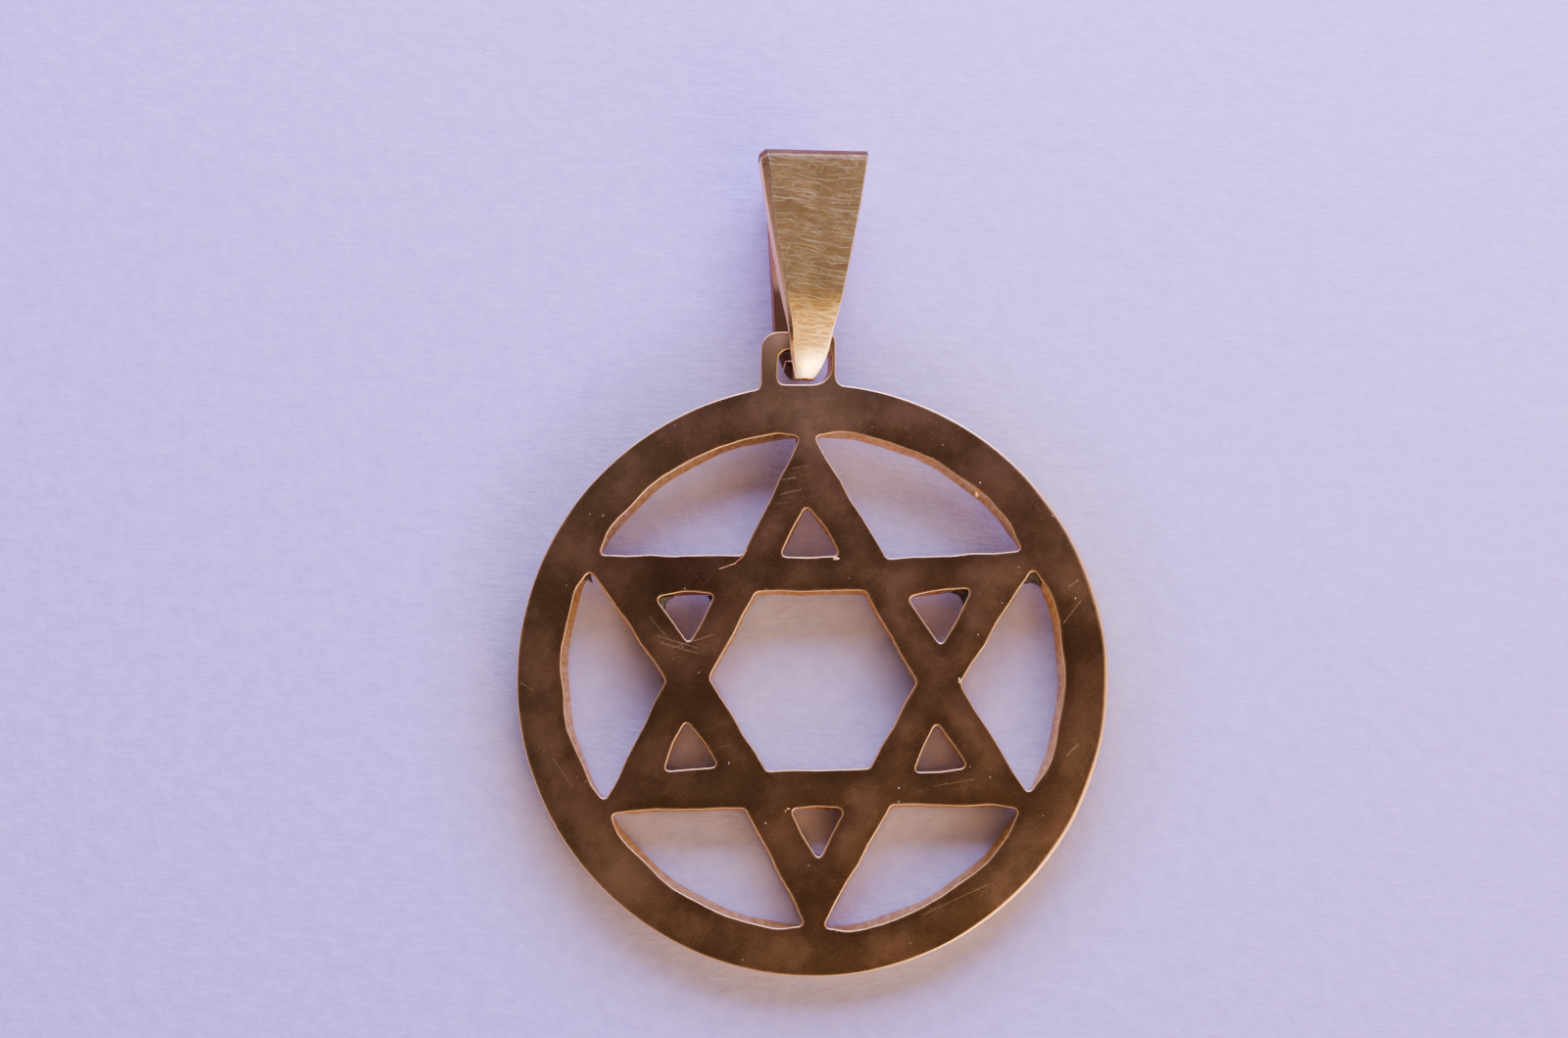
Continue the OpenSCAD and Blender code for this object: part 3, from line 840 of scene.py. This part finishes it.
# Where tarnish lies thicker on the plate: middle in mm, radius, how much
DARK_SPOTS = [
    ((-5.6, 4.4, 0), 3.2, 0.9), ((-5.3, -0.3, 0), 2.0, 0.45), ((5.3, -0.3, 0), 1.8, 0.3),
    ((-7.0, -4.8, 0), 2.6, 0.35), ((0.3, -8.8, 0), 1.8, 0.5), ((-2.0, 4.6, 0), 1.4, 0.4),
    ((-2.4, -5.0, 0), 1.6, 0.3), ((-10.8, 3.2, 0), 1.5, 0.25), ((11.4, 0.4, 0), 3.6, 0.6),
    ((8.2, 8.0, 0), 3.0, 0.4), ((5.3, 4.6, 0), 1.8, 0.2),
]
# Where a wall is rusty
WALL_STAINS = [
    ((-5.4, 3.6, 0), 1.5, 0.9), ((-9.5, 4.5, 0), 0.7, 0.6), ((-0.5, 10.5, 0), 0.5, 0.6),
    ((-1.6, 13.9, 0), 0.9, 1.0),
]
# Where the flat is worn bright
LIGHT_SPOTS = [
    ((0.0, 12.0, 0), 3.4, 0.5), ((8.4, -8.6, 0), 3.0, 0.2), ((8.0, 8.6, 0), 2.2, 0.1),
    ((-8.0, 8.6, 0), 2.6, 0.15), ((-1.7, 13.9, 0), 1.9, 0.7), ((-8.6, -8.0, 0), 2.6, 0.2),
    ((-1.2, 14.8, 0), 1.4, 1.0),
]
# Where the flat is as dull as satin
SATIN_SPOTS = [((-1.2, 14.9, 0), 1.7, 1.0)]


def all_of(w, masks):
    """The strongest of several masks."""
    total = masks[0]
    for mask in masks[1:]:
        total = w.calc("MAXIMUM", total, mask)
    return total


def scratch_fields(w, place, fields, first_seed):
    """The strongest of several fields of scratches."""
    return all_of(w, [
        w.use(
            SCRATCHES, place, Angle=math.radians(angle), Length=length, Gap=gap,
            Width=width, Share=share, Seed=first_seed + i,
        )
        for i, (angle, length, gap, width, share) in enumerate(fields)
    ])


def spot_mask(w, place, list_of_spots):
    """The strongest of several listed spots."""
    return all_of(w, [
        w.calc("MULTIPLY", w.use(SPOT, place, Middle=middle, Radius=radius), share)
        for middle, radius, share in list_of_spots
    ])


def plate_gold():
    material, w, shader = new_material("tarnished gold")
    place, wall = w.fact("place", "Vector"), w.fact("wall")
    edge, from_window = w.fact("edge"), w.fact("from_window")
    cloud = w.use(MOTTLING, place, Size=3.0, Grain=0.25, Seed=3.0)
    grain = w.use(MOTTLING, place, Size=0.45, Grain=0.6, Seed=8.0)
    fine = scratch_fields(w, place, PLATE_FIELDS, 1)
    marked = all_of(w, [
        w.use(SINGLE_SCRATCH, place, From=start, To=end, Width=width)
        for start, end, width in PLATE_SCRATCHES
    ])
    dust = w.use(SPECKS, place, Gap=0.50, Size=0.06, Share=0.55)
    pits = w.use(SPECKS, w.stretch(place, (1, 1, 0.3)), Gap=0.9, Size=0.09, Share=0.3)
    worn = w.use(RIM_STRIP, place, Edge=edge, Reach=0.05, Seed=2.0)
    # Painted shade: a band about 1.1 mm wide along the windows, where the flat is painted darker
    beside = w.use(RIM_STRIP, place, Edge=from_window, Reach=1.1, Seed=5.0)
    on_flat = w.calc("SUBTRACT", 1.0, wall)

    grit = w.fade(w.noise(place, 11.0, 3.0, 0.6), 0.35, 0.65)
    # Painted shade: a band about 0.8 mm wide along every rim, where the flat is painted darker
    rim_shade = w.use(RIM_STRIP, place, Edge=edge, Reach=0.8, Seed=7.0)
    brown = w.mix(cloud, (0.44, 0.235, 0.15, 1), (0.57, 0.315, 0.20, 1))
    brown = w.tint(grain, 0.22, brown, (0.34, 0.16, 0.09, 1))
    brown = w.tint(grit, 0.30, brown, (0.24, 0.11, 0.065, 1))
    brown = w.tint(rim_shade, 0.25, brown, (0.20, 0.095, 0.06, 1))
    brown = w.tint(beside, 0.40, brown, (0.24, 0.10, 0.055, 1))
    brown = w.mix(spot_mask(w, place, DARK_SPOTS), brown, (0.21, 0.095, 0.06, 1))
    brown = w.mix(spot_mask(w, place, LIGHT_SPOTS), brown, (1.0, 0.60, 0.42, 1))
    bright = (0.95, 0.66, 0.40, 1)
    colour = w.tint(fine, 0.2, brown, bright)
    colour = w.tint(pits, 0.5, colour, (0.14, 0.07, 0.04, 1))
    colour = w.tint(dust, 0.9, colour, (1.0, 0.90, 0.80, 1))
    colour = w.mix(marked, colour, bright)
    colour = w.mix(worn, colour, (0.78, 0.44, 0.23, 1))
    down_wall = w.noise(w.stretch(place, (4, 4, 0.8)), 1.0, 3.0, 0.5)
    side = w.mix(w.fade(down_wall, 0.35, 0.65), (0.66, 0.45, 0.17, 1), (0.88, 0.68, 0.32, 1))
    side = w.mix(spot_mask(w, place, WALL_STAINS), side, (0.36, 0.13, 0.06, 1))
    colour = w.mix(w.fade(wall, 0.0, 0.3), colour, (0.82, 0.48, 0.26, 1))
    colour = w.mix(w.fade(wall, 0.7, 1.0), colour, side)

    rough = w.fade(cloud, 0.0, 1.0, 0.24, 0.30)
    on_rim = w.calc("MULTIPLY", w.calc("MULTIPLY", wall, on_flat), 4.0)
    for mask, more in ((fine, 0.05), (dust, 0.35), (spot_mask(w, place, SATIN_SPOTS), 0.11), (on_rim, 0.20)):
        rough = w.calc("ADD", rough, w.calc("MULTIPLY", mask, more))
    height = w.calc("MULTIPLY", w.noise(place, 9.0, 4.0, 0.6), 0.2)
    cut = w.calc("MAXIMUM", w.calc("MULTIPLY", fine, 0.04), w.calc("MULTIPLY", marked, 0.6))
    height = w.calc("SUBTRACT", height, w.calc("MULTIPLY", cut, on_flat))
    bump = w.put("Bump", {"Height": height, "Strength": 0.6, "Distance": 0.004 * MM})
    connect(w, shader, Base_Color=colour, Roughness=rough, Normal=bump)
    shader["Metallic"].default_value = 1
    shader["Specular Tint"].default_value = EDGE_TINT
    return material


# Fields of brush strokes on the bail: angle in degrees, length, gap, width, share
BRUSH_FIELDS = [
    (1, 1.6, 0.14, 0.05, 0.4), (-8, 1.0, 0.16, 0.05, 0.35), (11, 0.7, 0.15, 0.045, 0.35),
    (-62, 0.6, 0.25, 0.04, 0.35), (38, 0.6, 0.25, 0.04, 0.35), (3, 2.6, 0.5, 0.09, 0.5),
]
# Places along the bail's strip, in mm from its fold, and on what length each begins or ends: the dark stain
# round a line near the fold, the curl whose inside is painted dark as shade, the stretch in the ear's hole,
# also painted dark as shade, the front leaf's foot, painted lighter for its polish and in part as a painted
# highlight, and the back leaf
FOLD_STAIN_AT = 0.1
FOLD_STAIN = (0.18, 0.30)
CURL = (6.6, 7.8)
IN_HOLE = (9.6, 10.2)
AT_FOOT = (-8.8, -7.8)
BACK_LEAF = (0.5, 1.5)


def bail_gold():
    material, w, shader = new_material("brushed gold")
    place, edge, wall, inside = w.fact("place", "Vector"), w.fact("edge"), w.fact("wall"), w.fact("inside")
    _, along, _ = w.split(place)
    cloud = w.use(MOTTLING, place, Size=1.6, Grain=0.5, Seed=14.0)
    green = w.use(MOTTLING, place, Size=1.4, Grain=0.4, Seed=21.0)
    strokes = scratch_fields(w, place, BRUSH_FIELDS, 11)
    brushed = w.noise(w.stretch(place, (2.0, 12, 12)), 1.0, 4.0, 0.65)
    specks = w.use(SPECKS, place, Gap=0.35, Size=0.06, Share=0.3)
    worn = w.use(RIM_STRIP, place, Edge=edge, Reach=0.05, Seed=4.0)
    stain = w.fade(w.calc("ABSOLUTE", w.calc("SUBTRACT", along, FOLD_STAIN_AT)), *FOLD_STAIN, 0.95, 0.0)
    foot_polish_and_highlight = w.fade(along, *AT_FOOT, 0.7, 0.0)
    from_fold = w.calc("ABSOLUTE", along)
    # Painted shade: the inside of the curl and the strip's edges in the ear's hole are painted nearly black
    in_curl = w.calc("MULTIPLY", w.fade(inside, 0.5, 0.9), w.fade(from_fold, *CURL))
    in_hole = w.calc("MULTIPLY", w.fade(from_fold, *IN_HOLE), w.fade(wall, 0.4, 0.8))
    curl_and_hole_shade = w.calc("MAXIMUM", in_curl, in_hole)
    beside_wall = w.fade(wall, 0.75, 0.95, w.fade(wall, 0.2, 0.5, 0.0, 0.7), 0.0)

    colour = w.mix(cloud, (0.70, 0.43, 0.165, 1), (1.0, 0.67, 0.30, 1))
    colour = w.tint(green, 0.65, colour, (0.44, 0.34, 0.14, 1))
    colour = w.mix(w.fade(brushed, 0.35, 0.62, 0.0, 0.85), colour, (0.27, 0.155, 0.06, 1))
    colour = w.mix(strokes, colour, (1.0, 0.80, 0.44, 1))
    # The foot is painted lighter: its filed polish, and in part a painted highlight
    colour = w.mix(foot_polish_and_highlight, colour, (1.0, 0.76, 0.42, 1))
    colour = w.tint(specks, 0.7, colour, (1.0, 0.85, 0.6, 1))
    colour = w.tint(inside, 0.9, colour, (0.95, 0.74, 0.44, 1))
    colour = w.mix(worn, colour, (0.95, 0.70, 0.46, 1))
    cut_edge = w.mix(w.fade(along, *BACK_LEAF), (0.92, 0.60, 0.32, 1), (0.40, 0.24, 0.13, 1))
    colour = w.tint(wall, 0.9, colour, cut_edge)
    colour = w.mix(beside_wall, colour, (0.70, 0.34, 0.20, 1))
    # Painted shade in the curl and the ear's hole
    colour = w.tint(curl_and_hole_shade, 0.95, colour, (0.08, 0.035, 0.017, 1))
    colour = w.mix(stain, colour, (0.07, 0.027, 0.018, 1))
    stain_and_shade = w.calc("MAXIMUM", curl_and_hole_shade, stain)

    # The fold's stain and the painted shade are also made rougher and less metallic
    rough = w.calc("ADD", w.fade(brushed, 0.3, 0.7, 0.24, 0.34), w.calc("MULTIPLY", stain_and_shade, 0.4))
    rough = w.calc("SUBTRACT", rough, w.calc("MULTIPLY", foot_polish_and_highlight, 0.06))
    height = w.calc("ADD", w.calc("MULTIPLY", brushed, 0.3), w.calc("MULTIPLY", strokes, -0.5))
    bump = w.put("Bump", {"Height": height, "Strength": 0.6, "Distance": 0.004 * MM})
    metalness = w.fade(stain_and_shade, 0.0, 1.0, 1.0, 0.15)
    connect(w, shader, Base_Color=colour, Roughness=rough, Metallic=metalness, Normal=bump)
    shader["Specular IOR Level"].default_value = 0.05
    shader["Specular Tint"].default_value = EDGE_TINT
    return material


def dirt():
    material, w, shader = new_material("old dirt")
    place = w.fact("place", "Vector")
    crumbs = w.fade(w.noise(place, 7.0, 4.0), 0.35, 0.65)
    brown = w.mix(crumbs, (0.012, 0.006, 0.004, 1), (0.045, 0.022, 0.012, 1))
    ashen = w.mix(crumbs, (0.03, 0.028, 0.025, 1), (0.10, 0.092, 0.075, 1))
    tone = w.mix(w.fact("grey"), brown, ashen)
    bump = w.put("Bump", {"Height": w.noise(place, 9.0, 4.0, 0.7), "Strength": 0.8, "Distance": 0.03 * MM})
    connect(w, shader, Base_Color=tone, Normal=bump)
    shader["Roughness"].default_value = 0.7
    return material


# The sheet's width in m
FLOOR_SIZE = 1.5
# Painted light: how much lighter the paper is painted for each metre along x, y and z, and from what sum to
# what sum
PAINTED_LIGHT_SLOPE = (800, 500, 0)
PAINTED_LIGHT_FADES = (-30, 40)
# Painted shade: the paper is painted greyer and warmer round the pendant's middle, for its shadow and the
# warm light the gold throws on it: where that is, and from what distance to what distance
PENDANT_AT = (0, -5 * MM, 0)
PAINTED_SHADE_REACH = (12.5 * MM, 18 * MM)


def paper():
    material, w, shader = new_material("pale paper")
    place = w.put("TexCoord", {}, "Object")
    fibres = w.noise(w.stretch(place, (1500, 5000, 1)), 1.0, 4.0, 0.6)
    felt = w.noise(place, 1300.0, 5.0, 0.6)
    # Painted light: the paper is painted lighter towards +x and +y
    across = w.vector("DOT_PRODUCT", place, PAINTED_LIGHT_SLOPE, "Value")
    tone = w.mix(w.fade(felt, 0.3, 0.7), (0.44, 0.32, 0.84, 1), (0.50, 0.365, 0.92, 1))
    lighter = w.mix(w.fade(felt, 0.3, 0.7), (0.58, 0.42, 0.95, 1), (0.64, 0.46, 1.0, 1))
    tone = w.mix(w.fade(across, *PAINTED_LIGHT_FADES), tone, lighter)
    # Painted shade: greyer, warmer paper round the pendant
    apart = w.vector("DISTANCE", place, PENDANT_AT, "Value")
    tone = w.mix(w.fade(apart, *PAINTED_SHADE_REACH, 1.0, 0.0), tone, (0.86, 0.97, 0.57, 1), "MULTIPLY")
    height = w.calc("ADD", felt, w.calc("MULTIPLY", fibres, 0.4))
    bump = w.put("Bump", {"Height": height, "Strength": 0.9, "Distance": 0.08 * MM})
    connect(w, shader, Base_Color=tone, Normal=bump)
    shader["Roughness"].default_value = 0.9
    shader["Specular IOR Level"].default_value = 0.2
    return material


def make_floor():
    bpy.ops.mesh.primitive_plane_add(size=FLOOR_SIZE)
    floor = bpy.context.object
    floor.name = "paper_floor"
    floor.data.materials.append(paper())


def towards(azimuth, elevation):
    """The direction to a place in the room; azimuth is anticlockwise from +X."""
    a, e = math.radians(azimuth), math.radians(elevation)
    return Vector((math.cos(a) * math.cos(e), math.sin(a) * math.cos(e), math.sin(e)))


# Lights: name, azimuth and elevation in degrees, distance and width in m, colour and strength
LIGHTS = [
    ("upper window light", 100, 30, 0.19, 0.12, (0.42, 0.40, 0.62)),
    ("right window light", 70, 24, 0.19, 0.12, (0.50, 0.48, 1.30)),
    ("lamp", -61, 28, 0.40, 0.07, (0.62, 0.42, 0.18)),
]
# Light of the room: its colour and strength low down, and where it fades towards the ceiling
ROOM_LIGHT = (1.55, 1.30, 1.30, 1)
ROOM_FADES = (0.34, 0.67)
# Lit patches of the room: azimuth, elevation, where they begin and are full in degrees, colour and strength
ROOM_PATCHES = [
    (-45, 8, 34, 12, (5.4, 4.6, 4.4, 1)),
    (22, 28, 30, 10, (0.5, 0.4, 0.4, 1)),
    (-22, 28, 30, 10, (0.5, 0.4, 0.4, 1)),
    (0, 48, 30, 10, (0.33, 0.29, 0.15, 1)),
    (0, 90, 22, 6, (0.113, 0.112, 0.068, 1)),
    (-47, 47, 30, 14, (3.0, 1.9, 0.82, 1)),
]


def make_light(name, azimuth, elevation, distance, size, colour):
    """A soft square light that looks at the pendant."""
    lamp = bpy.data.lights.new(name, "AREA")
    lamp.size = size
    lamp.energy = 1.0
    lamp.color = colour
    light = bpy.data.objects.new(name, lamp)
    bpy.context.scene.collection.objects.link(light)
    light.location = towards(azimuth, elevation) * distance
    light.rotation_euler = light.location.to_track_quat("Z", "Y").to_euler()


def make_camera():
    azimuth, elevation, roll = (math.radians(v) for v in (EYE_AZIMUTH, EYE_ELEVATION, EYE_ROLL))
    ahead = Vector((
        math.sin(azimuth) * math.cos(elevation),
        math.cos(azimuth) * math.cos(elevation),
        -math.sin(elevation),
    ))
    right = ahead.cross(Vector((0, 0, 1))).normalized()
    up = right.cross(ahead)
    right, up = right * math.cos(roll) + up * math.sin(roll), up * math.cos(roll) - right * math.sin(roll)
    data = bpy.data.cameras.new("camera")
    data.sensor_width = SENSOR_W_MM
    data.lens = PIXELS_PER_MM * EYE_DISTANCE_MM / PICTURE_W * SENSOR_W_MM
    data.clip_start = 10 * MM
    camera = bpy.data.objects.new("camera", data)
    place = Vector(LOOKED_AT_MM) * MM - ahead * EYE_DISTANCE_MM * MM
    camera.matrix_world = Matrix.Translation(place) @ Matrix((right, up, -ahead)).transposed().to_4x4()
    bpy.context.scene.collection.objects.link(camera)
    bpy.context.scene.camera = camera


def make_world():
    """A room that is light all round and dark above, with lit patches."""
    world = bpy.data.worlds.new("light room")
    world.use_nodes = True
    w = Wiring(world.node_tree)
    direction = w.put("TexCoord", {}, "Generated")
    _, _, up = w.split(direction)
    lit = w.mix(w.fade(up, *ROOM_FADES), ROOM_LIGHT, (0, 0, 0, 1))
    for azimuth, elevation, outer, inner, colour in ROOM_PATCHES:
        near = w.vector("DOT_PRODUCT", direction, towards(azimuth, elevation), "Value")
        mask = w.fade(near, math.cos(math.radians(outer)), math.cos(math.radians(inner)))
        lit = w.mix(mask, lit, colour, "ADD")
    w.tree.links.new(lit, w.tree.nodes["Background"].inputs["Color"])
    bpy.context.scene.world = world


make_camera()
make_world()
for light in LIGHTS:
    make_light(*light)
make_floor()

plate, plate_axes, plate_thick = make_plate()
face_outwards(plate)
gold = plate_gold()
plate.data.materials.append(gold)
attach(plate, "pendant")
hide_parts("disc")

burrs = make_burrs(plate_axes, plate_thick)
face_outwards(burrs)
burrs.data.materials.append(gold)
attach(burrs, "pendant")

corner_dirt = make_dirt(plate_axes)
corner_dirt.data.materials.append(dirt())
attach(corner_dirt, "pendant")

bail = make_bail()
face_outwards(bail)
bail.data.materials.append(bail_gold())
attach(bail, "loop")
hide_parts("bail")
